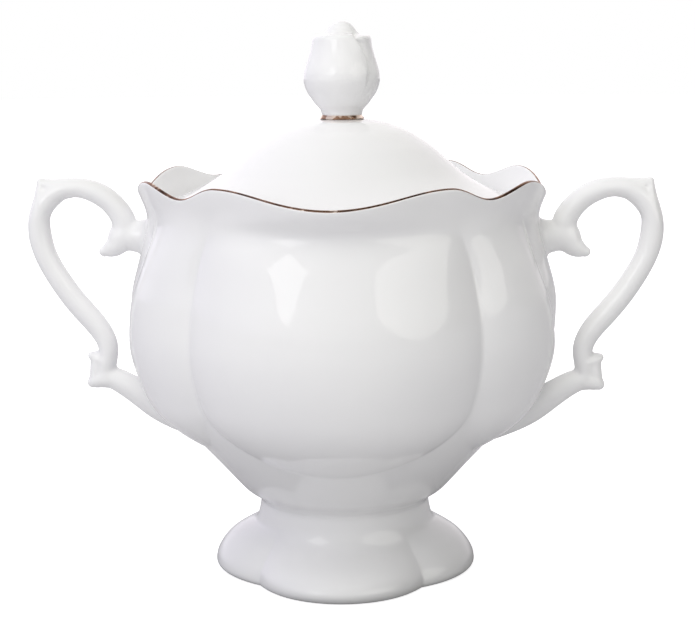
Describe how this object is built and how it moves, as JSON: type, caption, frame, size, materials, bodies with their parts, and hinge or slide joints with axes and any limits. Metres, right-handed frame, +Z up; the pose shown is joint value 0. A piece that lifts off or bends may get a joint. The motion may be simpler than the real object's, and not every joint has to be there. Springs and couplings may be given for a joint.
{
  "type": "sugar bowl",
  "caption": "Lobed porcelain sugar bowl with scrolled loop handles, a pedestal foot and a lift-off domed lid with a rosebud knob.",
  "frame": {"origin": "on the table under the middle of the bowl", "axes": "+X towards the right handle, -Y the front, +Z up"},
  "size_m": [0.1574, 0.106, 0.1367],
  "materials": {
    "porcelain": "gloss white glaze",
    "fired_gold": "thin fired gold, satin"
  },
  "bodies": {
    "bowl": {"bowl_body": "porcelain", "bowl_foot": "porcelain", "handle_left": "porcelain", "handle_right": "porcelain", "rim_gilding": "fired_gold"},
    "lid": {"lid_shell": "porcelain", "lid_locating_rim": "porcelain", "lid_knob": "porcelain", "knob_gilding": "fired_gold"}
  },
  "joints": [
    {"name": "lid_lift", "type": "slide", "parent": "bowl", "child": "lid", "axis": [0, 0, 1], "range_m": [0, 0.04]}
  ]
}
